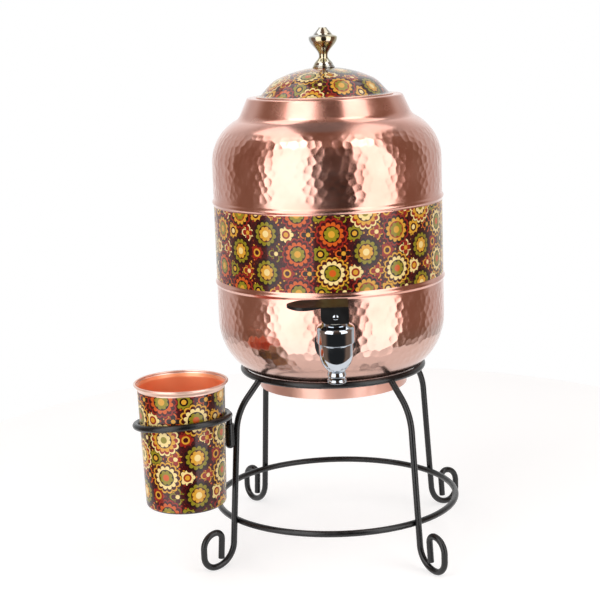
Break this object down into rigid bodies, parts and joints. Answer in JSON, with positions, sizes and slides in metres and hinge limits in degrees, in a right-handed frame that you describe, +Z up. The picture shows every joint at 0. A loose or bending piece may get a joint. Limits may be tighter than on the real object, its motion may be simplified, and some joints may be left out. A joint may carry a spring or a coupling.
{
  "type": "water dispenser",
  "caption": "Lidded copper water pot with a swivelling lever tap, in a scroll-footed wire stand that carries a drinking tumbler in a hinged ring.",
  "frame": {"origin": "on the floor, on the axis of the stand and pot", "axes": "+Z up, the tap points along -Y, the tumbler hangs towards -X"},
  "size_m": [0.2661, 0.2551, 0.4183],
  "materials": {
    "black_coat": "satin",
    "copper": "satin",
    "printed_copper": "gloss",
    "polished_nickel": "gloss",
    "steel": "satin",
    "tap_chrome": "gloss",
    "rubber": "matte",
    "tap_brass": "satin",
    "nylon": "matte",
    "black_plastic": "gloss"
  },
  "bodies": {
    "stand": {"top_ring": "black_coat", "base_ring": "black_coat", "leg_front_left": "black_coat", "leg_front_right": "black_coat", "leg_back_right": "black_coat", "leg_back_left": "black_coat", "holder_socket": "black_coat"},
    "holder": {"holder_ring": "black_coat"},
    "tumbler": {"tumbler": "printed_copper"},
    "pot": {"pot_base": "copper", "pot_side": "copper", "pot_band": "printed_copper", "pot_shoulder": "copper", "pot_neck": "copper", "pot_foot": "copper", "tap_body": "tap_chrome", "outer_gasket": "rubber", "inner_gasket": "rubber", "tap_nut": "tap_brass", "tap_bonnet": "tap_chrome", "bonnet_seal": "rubber", "stem_seal": "rubber", "valve_spring": "steel"},
    "swivel": {"thrust_washer": "nylon"},
    "stem": {"valve_stem": "tap_brass", "valve_seal": "rubber"},
    "lever": {"tap_lever": "black_plastic", "lever_pin": "tap_chrome"},
    "lid": {"lid_dome": "printed_copper", "lid_rim": "copper", "lid_knob": "polished_nickel", "knob_washer": "steel", "knob_screw": "steel"}
  },
  "joints": [
    {"name": "pot_lift", "type": "slide", "parent": "stand", "child": "pot", "axis": [0, 0, 1], "range_m": [0, 0.12]},
    {"name": "lid_lift", "type": "slide", "parent": "pot", "child": "lid", "axis": [0, 0, 1], "range_m": [0, 0.1]},
    {"name": "lever_swivel", "type": "hinge", "parent": "pot", "child": "swivel", "pos_m": [0, -0.13282, 0.2155], "axis": [0, -0.1045, 0.9945], "continuous": true},
    {"name": "stem_lift", "type": "slide", "parent": "swivel", "child": "stem", "axis": [0, -0.1045, 0.9945], "range_m": [0, 0.0024], "deforming": ["valve_spring"]},
    {"name": "lever_tilt", "type": "hinge", "parent": "stem", "child": "lever", "pos_m": [0, -0.13282, 0.2155], "axis": [0, -0.9945, -0.1045], "range_deg": [0, 25], "stiffness_Nm_per_rad": 0.03, "springref_deg": -20.05},
    {"name": "holder_swing", "type": "hinge", "parent": "stand", "child": "holder", "pos_m": [-0.08396, -0.06167, 0.099], "axis": [0, 0, 1], "range_deg": [-60, 60]},
    {"name": "tumbler_lift", "type": "slide", "parent": "holder", "child": "tumbler", "axis": [0, 0, 1], "range_m": [0, 0.12]}
  ],
  "couplings": [
    {"joint": "lever_tilt", "follows": "stem_lift", "rad_per_m": 178.57}
  ]
}
